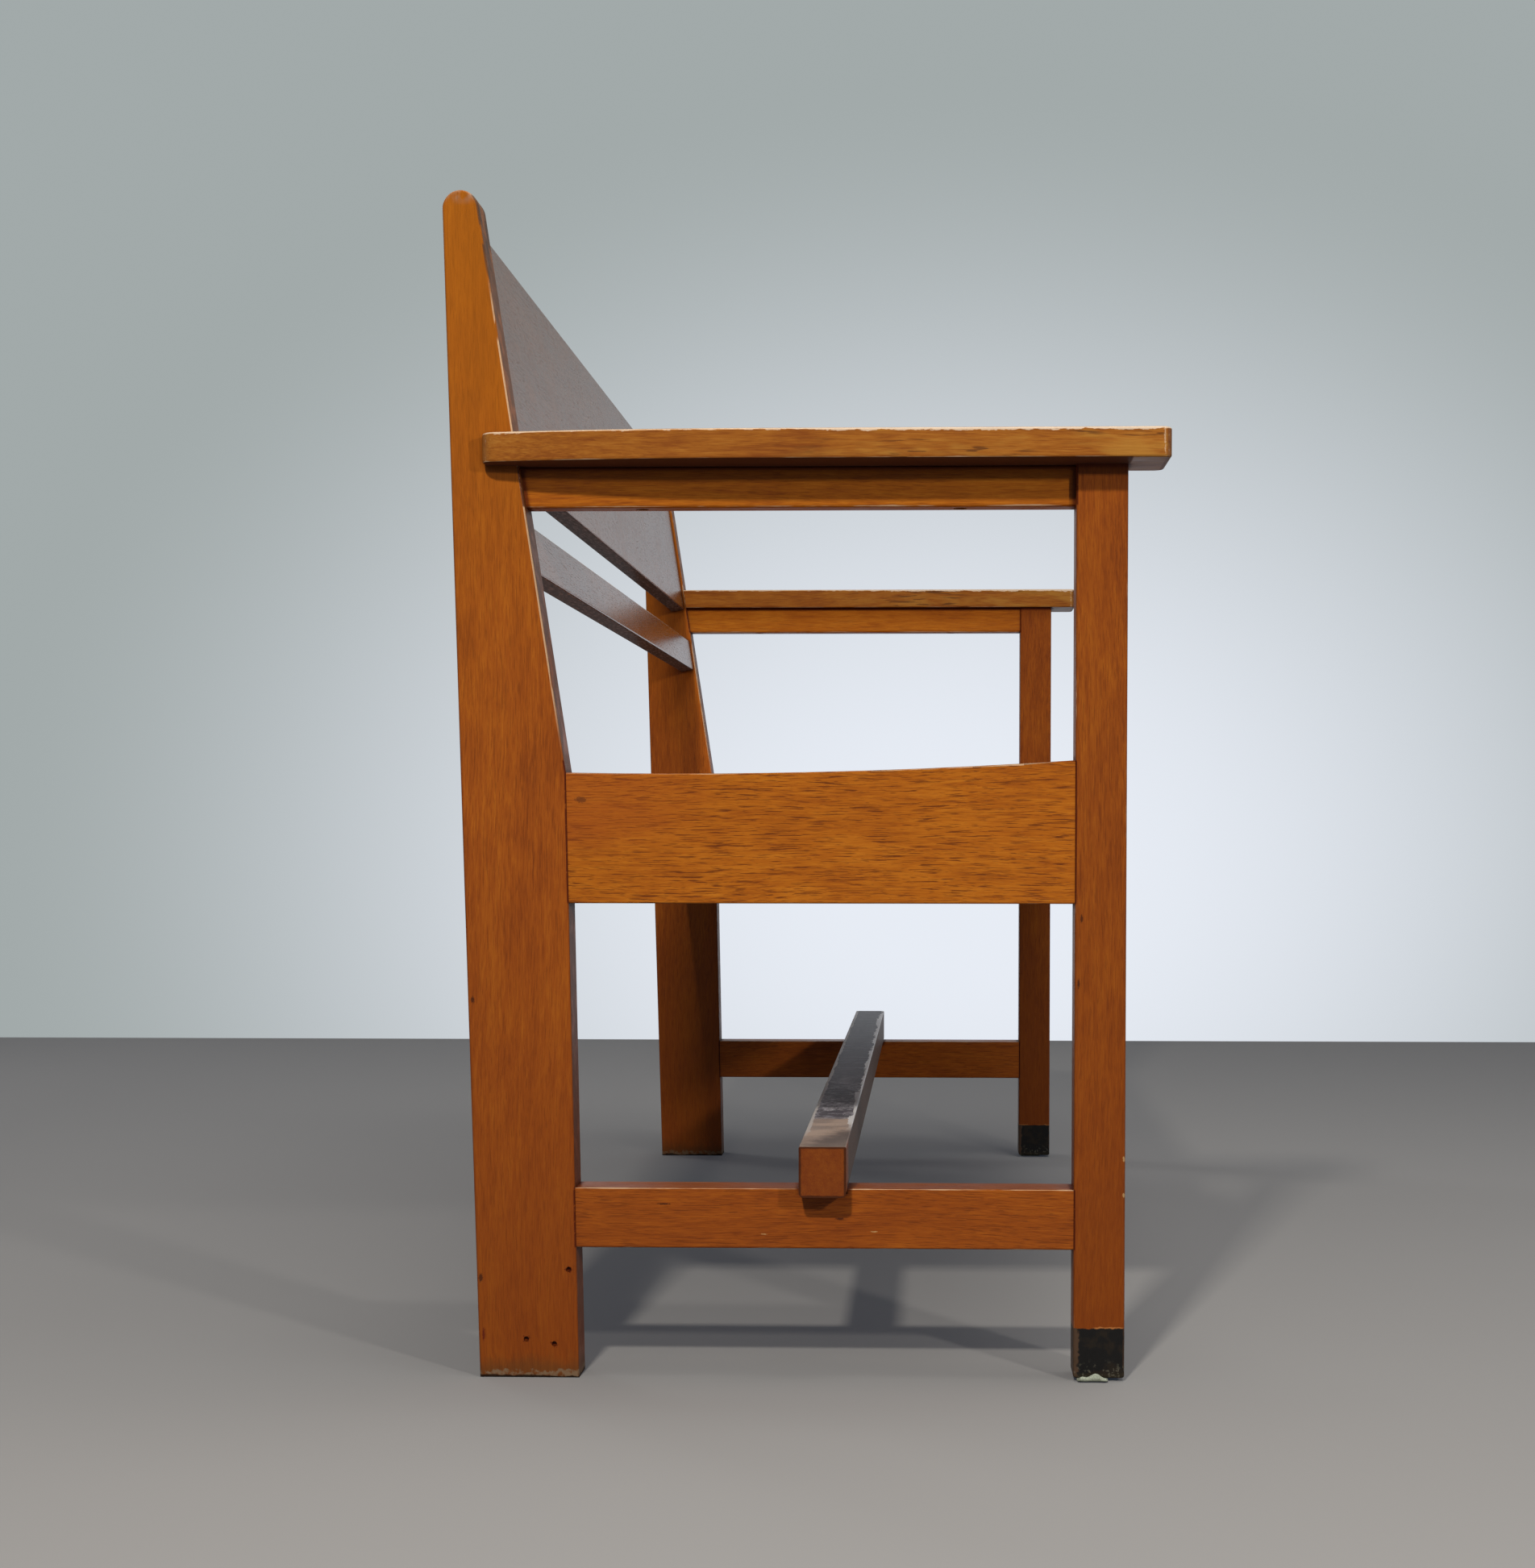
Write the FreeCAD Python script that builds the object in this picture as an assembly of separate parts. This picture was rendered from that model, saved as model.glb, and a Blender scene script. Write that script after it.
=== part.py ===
import FreeCAD, Part
import math
import os

from FreeCAD import Vector

# A long wooden bench with arms, an open raked back and a boarded seat, in millimetres.
# X runs along the bench, its front faces -Y, Z points up.
# The origin is on the floor under the middle of the whole bench.
# Left pieces are at -X; a right piece is its left piece mirrored.
# Depths called reach are measured forwards from the back of the rear posts at the floor.

# End frames
length_over_frames = 1440.0
frame_thickness = 38.0
frame_arris = 2.0

# Rear posts: straight leaning back edge, front edge that turns back at the knee, rounded crown
overall_height = 880.0
post_foot_depth = 74.5
post_knee_depth = 78.5
post_knee_height = 452.0
post_crown_depth = 25.0
post_back_lean = 24.0
nail_hole_diameter = 4.0
nail_hole_depth = 3.0
nail_hole_spots = ((35.0, 29.0), (56.0, 25.5), (67.0, 81.5))

# Front legs on felt pads
leg_front_reach = 481.0
leg_depth = 38.0
felt_thickness = 2.5
felt_width = 40.0
felt_depth = 22.0
felt_outward_shift = 5.5
felt_rearward_shift = 4.5
felt_corner = 5.0
felt_turn = 7.0

# Armrests
arm_top = 700.0
arm_thickness = 22.0
arm_outer_overhang = 38.0
arm_inner_overhang = 8.0
arm_front_overhang = 29.0
arm_rear_overhang = 20.0
arm_sweep_length = 200.0
arm_ear_reach = 7.0
arm_front_corner = 8.0
arm_ear_corner = 12.0
arm_arris = 2.0

# Rails under the armrests
arm_rail_height = 30.0
arm_rail_thickness = 26.0
arm_rail_recess = 10.0
arm_rail_lower_arris = 3.0

# Seat side rails, with a hollowed top edge, and the side stretchers
side_rail_thickness = 36.0
seat_rail_bottom = 355.0
seat_rail_front_rise = 9.0
seat_rail_hollow = 4.0
stretcher_bottom = 98.0
stretcher_height = 45.0
rail_arris = 1.5

# Centre stretcher, a foot rest lapped onto the side stretchers
centre_stretcher_width = 35.0
centre_stretcher_height = 38.0
centre_stretcher_lap = 4.0
centre_stretcher_overhang = 22.0
centre_stretcher_worn_arris = 4.0

# Back board and back slat, set behind the front edges of the posts
back_recess = 3.0
back_board_foot = 677.0
back_board_width = 178.0
back_board_thickness = 16.0
back_slat_foot = 603.0
back_slat_width = 36.5
back_slat_thickness = 16.0
back_tenon_thickness = 8.0
back_tenon_shoulder = 8.0
back_tenon_length = 14.0

# Front and rear seat rails
cross_rail_thickness = 26.0
cross_rail_bottom = 364.0
cross_rail_tenon_thickness = 9.0
front_rail_setback = 3.0
rear_rail_front_reach = 52.0

# Seat boards, the cleats at their ends and the bearer under their middle
seat_board_count = 5
seat_board_thickness = 18.0
seat_board_gap = 4.0
seat_board_drop = 3.0
seat_board_end_gap = 1.0
seat_front_setback = 2.0
seat_rear_reach = 30.0
cleat_thickness = 18.0
cleat_height = 30.0
cleat_end_gap = 3.0
cleat_screw_rise = 10.0
bearer_thickness = 30.0
bearer_height = 45.0
bearer_tenon_length = 8.0
bearer_tenon_height = 24.0

# Mortise and tenon joints
tenon_thickness = 12.0
tenon_shoulder = 8.0
tenon_length = 20.0
leg_tenon_width = 22.0
leg_tenon_height = 12.0
joint_clearance = 0.2
mortise_extra_depth = 1.0

# Pan head wood screws
screw_diameter = 4.0
screw_head_diameter = 8.0
screw_head_height = 2.5
screw_bite = 12.0
screw_grip = 24.0
screw_slot = 1.0
screw_recess_diameter = 10.0
end_board_screw_inset = 22.0
stretcher_screw_recess = 8.0
arm_screw_recess = 8.0
arm_screw_inset = 85.0
joint_wall = 2.0

# Margins for cutting past a face and for telling edges apart
cut_margin = 1.0
edge_apart = 1.0
edge_level = 0.1

# Places worked out from the sizes above
half_length = length_over_frames / 2
frame_inner = half_length - frame_thickness
back_slope = post_back_lean / overall_height
knee_reach = post_knee_depth - back_slope * post_knee_height
lower_slope = (post_foot_depth - knee_reach) / post_knee_height
crown_reach = post_crown_depth - post_back_lean
rake_slope = (knee_reach - crown_reach) / (overall_height - post_knee_height)
rake_angle = math.atan(rake_slope)
crown_radius = post_crown_depth / (
    math.hypot(1, back_slope) + math.hypot(1, rake_slope) + back_slope - rake_slope)
crown_centre_height = overall_height - crown_radius
crown_centre_reach = crown_radius * math.hypot(1, back_slope) - back_slope * crown_centre_height
arm_front_reach = leg_front_reach + arm_front_overhang
rearmost_reach = crown_centre_reach - crown_radius
foot_back = (arm_front_reach + rearmost_reach) / 2
leg_rear_reach = leg_front_reach - leg_depth
arm_underside = arm_top - arm_thickness
arm_rail_bottom = arm_underside - arm_rail_height
side_rail_recess = (frame_thickness - side_rail_thickness) / 2
stretcher_top = stretcher_bottom + stretcher_height
rear_rail_back_reach = rear_rail_front_reach - cross_rail_thickness
front_rail_front_reach = leg_front_reach - front_rail_setback
front_rail_back_reach = front_rail_front_reach - cross_rail_thickness
seat_front_reach = leg_front_reach - seat_front_setback


def place(reach):
    """The y of a point that lies this far in front of the back of the post feet."""
    return foot_back - reach


def post_front_reach(height):
    """Reach of the front edge of a rear post at a height."""
    if height <= post_knee_height:
        return post_foot_depth - lower_slope * height
    return knee_reach - rake_slope * (height - post_knee_height)


def bar(x0, x1, reach0, reach1, z0, z1):
    """A block between two x, two reaches and two heights."""
    y_low = place(max(reach0, reach1))
    return Part.makeBox(x1 - x0, abs(reach1 - reach0), z1 - z0, Vector(x0, y_low, z0))


def section(points, x0, x1):
    """A prism along X whose outline is a closed row of (reach, height) points."""
    corners = [Vector(x0, place(reach), height) for reach, height in points]
    face = Part.Face(Part.makePolygon(corners + corners[:1]))
    return face.extrude(Vector(x1 - x0, 0, 0))


def soften(solid, radius, wanted):
    """Round the edges that the test picks by the two ends of the edge."""
    picked = [edge for edge in solid.Edges if wanted(edge.Vertexes[0].Point, edge.Vertexes[-1].Point)]
    return solid.makeFillet(radius, picked)


def along_x(a, b):
    return abs(a.x - b.x) > edge_apart and abs(a.y - b.y) < edge_level and abs(a.z - b.z) < edge_level


def mirrored(solid):
    """The right piece for a left one."""
    return solid.mirror(Vector(0, 0, 0), Vector(1, 0, 0))


def grown_bar(x0, x1, reach0, reach1, z0, z1, along):
    """A mortise for a tenon: the tenon's block with clearance, deeper along one axis."""
    more = {axis: mortise_extra_depth if axis == along else joint_clearance for axis in "xyz"}
    low_reach, high_reach = sorted((reach0, reach1))
    return bar(x0 - more["x"], x1 + more["x"], low_reach - more["y"], high_reach + more["y"],
               z0 - more["z"], z1 + more["z"])


# Seat curve

def seat_curve_points():
    """Rear end, lowest offset and front end of the hollowed top edge of a seat side rail."""
    rear = (post_front_reach(post_knee_height), post_knee_height)
    front = (leg_rear_reach, post_knee_height + seat_rail_front_rise)
    run, rise = front[0] - rear[0], front[1] - rear[1]
    chord = math.hypot(run, rise)
    middle = ((rear[0] + front[0]) / 2 + seat_rail_hollow * rise / chord,
              (rear[1] + front[1]) / 2 - seat_rail_hollow * run / chord)
    return rear, middle, front


def seat_curve(reach):
    """Height of the seat side rail's top edge, carried on past its ends."""
    rear, middle, front = seat_curve_points()
    run, rise = front[0] - rear[0], front[1] - rear[1]
    chord = math.hypot(run, rise)
    radius = (chord ** 2 / 4 + seat_rail_hollow ** 2) / (2 * seat_rail_hollow)
    centre_reach = middle[0] - radius * rise / chord
    centre_height = middle[1] + radius * run / chord
    return centre_height - math.sqrt(radius ** 2 - (reach - centre_reach) ** 2)


def seat_board_reaches():
    """Rear and front reach of every seat board, from the back of the seat to its front."""
    whole = seat_front_reach - seat_rear_reach
    width = (whole - seat_board_gap * (seat_board_count - 1)) / seat_board_count
    step = width + seat_board_gap
    starts = [seat_rear_reach + k * step for k in range(seat_board_count)]
    return [(start, start + width) for start in starts]


def seat_underside_points():
    """The underside of the row of seat boards as a polyline."""
    drop = seat_board_drop + seat_board_thickness
    return [(reach, seat_curve(reach) - drop) for pair in seat_board_reaches() for reach in pair]


def seat_underside(reach):
    """Height of the underside of the seat boards at a reach."""
    points = seat_underside_points()
    for (reach0, z0), (reach1, z1) in zip(points, points[1:]):
        if reach <= reach1:
            break
    return z0 + (z1 - z0) * (reach - reach0) / (reach1 - reach0)


def under_seat_section(reach0, reach1, bottom, x0, x1):
    """A prism whose top lies against the undersides of the seat boards."""
    inner = [point for point in seat_underside_points() if reach0 < point[0] < reach1]
    top = [(reach0, seat_underside(reach0))] + inner + [(reach1, seat_underside(reach1))]
    return section(top + [(reach1, bottom), (reach0, bottom)], x0, x1)


# Screws

def screw(head, direction, length):
    """A slotted pan head screw whose head stands out backwards from the seating point."""
    shank = Part.makeCylinder(screw_diameter / 2, length, head, direction)
    cap = Part.makeCylinder(screw_head_diameter / 2, screw_head_height, head, direction * -1)
    solid = shank.fuse(cap).removeSplitter()
    across = Vector(1, 0, 0) if abs(direction.x) < 0.5 else Vector(0, 1, 0)
    side = direction.cross(across)
    outer = head - direction * screw_head_height
    corner = outer - across * screw_head_diameter - side * (screw_slot / 2)
    width = across * (2 * screw_head_diameter)
    slot_face = Part.Face(Part.makePolygon(
        [corner, corner + width, corner + width + side * screw_slot, corner + side * screw_slot, corner]))
    return solid.cut(slot_face.extrude(direction * screw_slot))


def screw_hole(head, direction, length, recess):
    """The hole for a screw, with a recess that its head sits in."""
    drill = Part.makeCylinder(screw_diameter / 2 + joint_clearance, length + mortise_extra_depth,
                              head, direction)
    pocket = Part.makeCylinder(screw_recess_diameter / 2, recess, head - direction * recess, direction)
    return drill.fuse(pocket)


up = Vector(0, 0, 1)
cleat_bottom = min(z for _, z in seat_underside_points()) - cleat_height
bearer_bottom = min(z for _, z in seat_underside_points()) - bearer_height
bearer_x = (-bearer_thickness / 2, bearer_thickness / 2)
side_rail_x = (-half_length + side_rail_recess, -half_length + side_rail_recess + side_rail_thickness)
cleat_x = (side_rail_x[1], side_rail_x[1] + cleat_thickness)


def board_screw_reaches():
    """Reach of each seat board's screw: its middle, or nearer the seat's middle in the outer two."""
    reaches = [(low + high) / 2 for low, high in seat_board_reaches()]
    reaches[0] = seat_board_reaches()[0][1] - end_board_screw_inset
    reaches[-1] = seat_board_reaches()[-1][0] + end_board_screw_inset
    return reaches


def board_screw_places():
    """Seating points of the screws that come up through the left cleat and the bearer."""
    lines = ((cleat_x[0] + cleat_x[1]) / 2, 0.0)
    return [Vector(x, place(reach), seat_underside(reach) - screw_grip)
            for x in lines for reach in board_screw_reaches()]


board_screw_length = screw_grip + screw_bite
board_screw_recess = max(cleat_height, bearer_height)


def cleat_screw_places():
    """Seating points of the screws through the left cleat into the side rail, one under each gap."""
    gaps = [low - seat_board_gap / 2 for low, _ in seat_board_reaches()[1:]]
    height = cleat_bottom + cleat_screw_rise
    return [Vector(cleat_x[1] - screw_head_height, place(reach), height) for reach in gaps]


cleat_screw_length = cleat_thickness - screw_head_height + screw_bite
centre_reach = (post_front_reach(stretcher_top) + leg_rear_reach) / 2
centre_stretcher_bottom = stretcher_top - centre_stretcher_lap
stretcher_screw_place = Vector(-half_length + frame_thickness / 2, place(centre_reach),
                               stretcher_bottom + stretcher_screw_recess)
stretcher_screw_length = stretcher_height - centre_stretcher_lap - stretcher_screw_recess + screw_bite
arm_rail_x = (-half_length + arm_rail_recess, -half_length + arm_rail_recess + arm_rail_thickness)
arm_screw_length = arm_rail_height - arm_screw_recess + screw_bite


def arm_screw_places():
    """Seating points of the two screws that go up through the left arm rail into the armrest."""
    reaches = (post_front_reach(arm_rail_bottom) + arm_screw_inset, leg_rear_reach - arm_screw_inset)
    height = arm_rail_bottom + arm_screw_recess
    return [Vector(sum(arm_rail_x) / 2, place(reach), height) for reach in reaches]


# Tenons of the left end frame, as blocks (x0, x1, reach0, reach1, z0, z1)

def frame_tenons(x0, x1, z0, z1, thickness):
    """Rear and front tenon of a rail that runs from the rear post to the front leg."""
    middle = (x0 + x1) / 2
    sides = (middle - thickness / 2, middle + thickness / 2)
    heights = (z0 + tenon_shoulder, z1 - tenon_shoulder)
    shoulder = min(post_front_reach(heights[0]), post_front_reach(heights[1]))
    return [sides + (shoulder - tenon_length, shoulder + tenon_shoulder) + heights,
            sides + (leg_rear_reach - tenon_shoulder, leg_rear_reach + tenon_length) + heights]


seat_rail_tenons = frame_tenons(*side_rail_x, seat_rail_bottom, post_knee_height - tenon_shoulder,
                                tenon_thickness)
stretcher_tenons = frame_tenons(*side_rail_x, stretcher_bottom, stretcher_top, tenon_thickness)
arm_rail_tenons = frame_tenons(*arm_rail_x, arm_rail_bottom, arm_underside, tenon_thickness)


def cross_rail_tenon(back_reach):
    """Left tenon of a rail that runs along the bench, from the reach of the tenon's back face."""
    front_reach = back_reach + cross_rail_tenon_thickness
    top = min(seat_underside(front_reach), seat_underside(back_reach)) - tenon_shoulder
    return (-frame_inner - tenon_length, -frame_inner + tenon_shoulder, back_reach, front_reach,
            cross_rail_bottom + tenon_shoulder, top)


# The front rail's tenon passes in front of the side rail's mortise in the leg
front_rail_tenon = cross_rail_tenon(leg_rear_reach + tenon_length + mortise_extra_depth + joint_wall)
rear_rail_tenon = cross_rail_tenon((rear_rail_front_reach + rear_rail_back_reach
                                    - cross_rail_tenon_thickness) / 2)


def bearer_tenons():
    """Rear and front stub tenon of the seat bearer, as blocks."""
    half = tenon_thickness / 2
    middle = (bearer_bottom + seat_underside(rear_rail_front_reach)) / 2
    heights = (middle - bearer_tenon_height / 2, middle + bearer_tenon_height / 2)
    rear = (rear_rail_front_reach - bearer_tenon_length, rear_rail_front_reach + tenon_shoulder)
    front = (front_rail_back_reach - tenon_shoulder, front_rail_back_reach + bearer_tenon_length)
    return [(-half, half) + reaches + heights for reaches in (rear, front)]


def lie_on_rake(solid, foot):
    """Lean a board drawn upright at the origin back against the rake of the posts."""
    solid.rotate(Vector(0, 0, 0), Vector(1, 0, 0), -math.degrees(rake_angle))
    y = place(post_front_reach(foot)) + back_recess * math.cos(rake_angle)
    solid.translate(Vector(0, y, foot - back_recess * math.sin(rake_angle)))
    return solid


def raked_tenon(foot, width, thickness, extra, extra_depth):
    """Tenons at both ends of a back board as one long block, or with clearance as its mortises."""
    reach = frame_inner + back_tenon_length + extra_depth
    low = (thickness - back_tenon_thickness) / 2 - extra
    block = Part.makeBox(2 * reach, back_tenon_thickness + 2 * extra,
                         width - 2 * back_tenon_shoulder + 2 * extra,
                         Vector(-reach, low, back_tenon_shoulder - extra))
    return lie_on_rake(block, foot)


# Pieces of the left end frame

def post_blank():
    """The rear post's outline, drawn out to the frame's thickness and softened."""
    x0 = -half_length

    def at(reach, height):
        return Vector(x0, place(reach), height)

    back_turn = math.atan(back_slope)
    back_tangent = at(crown_centre_reach - crown_radius * math.cos(back_turn),
                      crown_centre_height - crown_radius * math.sin(back_turn))
    front_tangent = at(crown_centre_reach + crown_radius * math.cos(rake_angle),
                       crown_centre_height + crown_radius * math.sin(rake_angle))
    apex = at(crown_centre_reach, overall_height)
    foot_rear = at(0, 0)
    foot_front = at(post_foot_depth, 0)
    knee = at(knee_reach, post_knee_height)
    edges = [Part.makeLine(foot_rear, foot_front), Part.makeLine(foot_front, knee),
             Part.makeLine(knee, front_tangent), Part.Arc(front_tangent, apex, back_tangent).toShape(),
             Part.makeLine(back_tangent, foot_rear)]
    blank = Part.Face(Part.Wire(edges)).extrude(Vector(frame_thickness, 0, 0))
    return soften(blank, frame_arris, lambda a, b: not along_x(a, b))


def rear_post():
    """Left rear post with its mortises and the nail holes in its foot."""
    post = post_blank()
    for tenon in (seat_rail_tenons[0], stretcher_tenons[0], arm_rail_tenons[0]):
        post = post.cut(grown_bar(*tenon, "y"))
    post = post.cut(grown_bar(*rear_rail_tenon, "x"))
    for foot, width, thickness in back_pieces:
        post = post.cut(raked_tenon(foot, width, thickness, joint_clearance, mortise_extra_depth))
    return post


def nail_holes():
    """Old nail holes low on the outer face of the left rear post."""
    holes = [Part.makeCylinder(nail_hole_diameter / 2, 2 * nail_hole_depth,
                               Vector(-half_length - nail_hole_depth, place(reach), height), Vector(1, 0, 0))
             for reach, height in nail_hole_spots]
    return Part.makeCompound(holes)


back_pieces = ((back_board_foot, back_board_width, back_board_thickness),
               (back_slat_foot, back_slat_width, back_slat_thickness))


def leg_tenon(extra):
    """Stub tenon on top of the left front leg, or with clearance its mortise."""
    x = -half_length + frame_thickness / 2
    reach = leg_front_reach - leg_depth / 2
    half = leg_tenon_width / 2 + extra
    return bar(x - half, x + half, reach - half, reach + half, arm_underside - extra,
               arm_underside + leg_tenon_height + extra)


def front_leg():
    """Left front leg with its mortises and the stub tenon that holds the armrest."""
    blank = bar(-half_length, -frame_inner, leg_rear_reach, leg_front_reach, felt_thickness, arm_underside)
    leg = soften(blank, frame_arris, lambda a, b: min(a.z, b.z) < arm_underside - edge_apart)
    for tenon in (seat_rail_tenons[1], stretcher_tenons[1], arm_rail_tenons[1]):
        leg = leg.cut(grown_bar(*tenon, "y"))
    leg = leg.cut(grown_bar(*front_rail_tenon, "x"))
    return leg.fuse(leg_tenon(0)).removeSplitter()


def felt_pad():
    """Felt scrap under the left front leg, turned a little and showing past the outer face."""
    x = -half_length + frame_thickness / 2 - felt_outward_shift
    y = place(leg_front_reach - leg_depth / 2 - felt_rearward_shift)
    pad = Part.makeBox(felt_width, felt_depth, felt_thickness,
                       Vector(x - felt_width / 2, y - felt_depth / 2, 0))
    pad = soften(pad, felt_corner, lambda a, b: abs(a.z - b.z) > felt_thickness / 2)
    pad.rotate(Vector(x, y, 0), up, felt_turn)
    return pad


def behind_post_front(x0, x1, low, high):
    """Everything behind the raked front edge of a post, between two heights."""
    heights = [low] + [h for h in (post_knee_height,) if low < h < high] + [high]
    front = [(post_front_reach(h), h) for h in heights]
    far = -overall_height
    return section(front + [(far, high), (far, low)], x0, x1)


def armrest_outline():
    """The armrest seen from above: its outer edge sweeps in towards the rear post."""
    x_out = -half_length - arm_outer_overhang
    x_rear = -half_length - arm_rear_overhang
    x_in = -frame_inner + arm_inner_overhang
    sweep_in = x_rear - x_out
    radius = (arm_sweep_length ** 2 + sweep_in ** 2) / (2 * sweep_in)
    half_way = arm_sweep_length / 2

    def at(x, reach):
        return Vector(x, place(reach), arm_underside)

    ear_outer, ear_inner = at(x_rear, arm_ear_reach), at(x_in, arm_ear_reach)
    front_outer, front_inner = at(x_out, arm_front_reach), at(x_in, arm_front_reach)
    sweep_start = at(x_out, arm_ear_reach + arm_sweep_length)
    sweep_middle = at(x_out + radius - math.sqrt(radius ** 2 - half_way ** 2), arm_ear_reach + half_way)
    edges = [Part.makeLine(ear_inner, front_inner), Part.makeLine(front_inner, front_outer),
             Part.makeLine(front_outer, sweep_start),
             Part.Arc(sweep_start, sweep_middle, ear_outer).toShape(), Part.makeLine(ear_outer, ear_inner)]
    return Part.Face(Part.Wire(edges))


def armrest():
    """Left armrest: a board notched round the rear post, with rounded corners and soft arrises."""
    x_in = -frame_inner + arm_inner_overhang
    y_front, y_ear = place(arm_front_reach), place(arm_ear_reach)

    def upright_at(y, x_limit):
        return lambda a, b: abs(a.z - b.z) > edge_apart and abs(a.y - y) < edge_level and a.x < x_limit

    board = armrest_outline().extrude(up * arm_thickness)
    board = soften(board, arm_front_corner, upright_at(y_front, 0))
    board = soften(board, arm_ear_corner, upright_at(y_ear, -half_length))
    board = soften(board, arm_arris, lambda a, b: abs(a.z - b.z) < edge_level)
    board = board.cut(behind_post_front(-half_length, x_in + cut_margin,
                                        arm_underside - cut_margin, arm_top + cut_margin))
    board = board.cut(leg_tenon(joint_clearance))
    for head in arm_screw_places():
        board = board.cut(screw_hole(head, up, arm_screw_length, screw_head_height))
    return board


def frame_rail(x0, x1, blank, tenons):
    """Fit a rail blank between the rear post's front edge and the front leg, and add its tenons."""
    box = blank.BoundBox
    rail = blank.cut(behind_post_front(x0 - cut_margin, x1 + cut_margin,
                                       box.ZMin - cut_margin, box.ZMax + cut_margin))
    for tenon in tenons:
        rail = rail.fuse(bar(*tenon))
    return rail.removeSplitter()


def straight_blank(x0, x1, z0, z1, lower_arris):
    """A softened straight rail that still runs on into the rear post."""
    blank = bar(x0, x1, 0, leg_rear_reach, z0, z1)
    middle = (z0 + z1) / 2
    blank = soften(blank, lower_arris, lambda a, b: abs(a.y - b.y) > edge_apart and a.z < middle)
    return soften(blank, rail_arris, lambda a, b: abs(a.y - b.y) > edge_apart and a.z > middle)


def arm_rail():
    """Left rail under the armrest."""
    blank = straight_blank(*arm_rail_x, arm_rail_bottom, arm_underside, arm_rail_lower_arris)
    rail = frame_rail(*arm_rail_x, blank, arm_rail_tenons)
    for head in arm_screw_places():
        rail = rail.cut(screw_hole(head, up, arm_screw_length, arm_screw_recess + cut_margin))
    return rail


def seat_side_rail():
    """Left seat side rail, with its hollowed top edge."""
    x0, x1 = side_rail_x
    rear, middle, front = seat_curve_points()
    start, low, stop = [Vector(x0, place(reach), height) for reach, height in (rear, middle, front)]
    behind = [Vector(x0, place(0), post_knee_height), Vector(x0, place(0), seat_rail_bottom)]
    under_leg = Vector(x0, place(leg_rear_reach), seat_rail_bottom)
    edges = [Part.Arc(start, low, stop).toShape(), Part.makeLine(stop, under_leg),
             Part.makeLine(under_leg, behind[1]), Part.makeLine(behind[1], behind[0]),
             Part.makeLine(behind[0], start)]
    blank = Part.Face(Part.Wire(edges)).extrude(Vector(side_rail_thickness, 0, 0))
    blank = soften(blank, rail_arris, lambda a, b: abs(a.y - b.y) > edge_apart)
    rail = frame_rail(x0, x1, blank, seat_rail_tenons)
    for head in cleat_screw_places():
        rail = rail.cut(screw_hole(head, Vector(-1, 0, 0), cleat_screw_length, screw_head_height))
    return rail


def side_stretcher():
    """Left side stretcher, housed at mid depth for the centre stretcher."""
    blank = straight_blank(*side_rail_x, stretcher_bottom, stretcher_top, rail_arris)
    rail = frame_rail(*side_rail_x, blank, stretcher_tenons)
    half = centre_stretcher_width / 2 + joint_clearance
    rail = rail.cut(bar(-half_length - cut_margin, -frame_inner + cut_margin, centre_reach - half,
                        centre_reach + half, centre_stretcher_bottom, stretcher_top + cut_margin))
    return rail.cut(screw_hole(stretcher_screw_place, up, stretcher_screw_length,
                               stretcher_screw_recess + cut_margin))


def seat_cleat():
    """Left seat cleat, screwed to the inner face of the seat side rail."""
    cleat = under_seat_section(post_front_reach(cleat_bottom) + cleat_end_gap, leg_rear_reach - cleat_end_gap,
                               cleat_bottom, *cleat_x)
    for head in cleat_screw_places():
        cleat = cleat.cut(screw_hole(head, Vector(-1, 0, 0), cleat_screw_length,
                                     screw_head_height + cut_margin))
    for head in board_screw_places()[:seat_board_count]:
        cleat = cleat.cut(screw_hole(head, up, board_screw_length, board_screw_recess))
    return cleat


# Pieces that run along the bench

def centre_stretcher():
    """Foot rest on the side stretchers, its ends standing past the frames."""
    reach = half_length + centre_stretcher_overhang
    half = centre_stretcher_width / 2
    top = centre_stretcher_bottom + centre_stretcher_height
    rest = bar(-reach, reach, centre_reach - half, centre_reach + half, centre_stretcher_bottom, top)
    rest = soften(rest, centre_stretcher_worn_arris, lambda a, b: along_x(a, b) and a.z < top - edge_apart)
    rest = soften(rest, rail_arris, lambda a, b: min(a.z, b.z) > top - edge_apart)
    hole = screw_hole(stretcher_screw_place, up, stretcher_screw_length, screw_head_height)
    return rest.cut(hole).cut(mirrored(hole))


def back_piece(foot, width, thickness):
    """A board of the back between the rear posts, with a tenon at each end."""
    board = Part.makeBox(2 * frame_inner, thickness, width, Vector(-frame_inner, 0, 0))
    board = lie_on_rake(soften(board, rail_arris, along_x), foot)
    return board.fuse(raked_tenon(foot, width, thickness, 0, 0)).removeSplitter()


def cross_rail(front_reach, back_reach, tenon, stub):
    """A seat rail along the bench, its top against the seat boards, mortised for the bearer."""
    rail = under_seat_section(back_reach, front_reach, cross_rail_bottom, -frame_inner, frame_inner)
    rail = soften(rail, rail_arris, lambda a, b: along_x(a, b) and a.z < cross_rail_bottom + edge_apart)
    left = bar(*tenon)
    rail = rail.fuse([left, mirrored(left)]).removeSplitter()
    return rail.cut(grown_bar(*stub, "y"))


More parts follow.
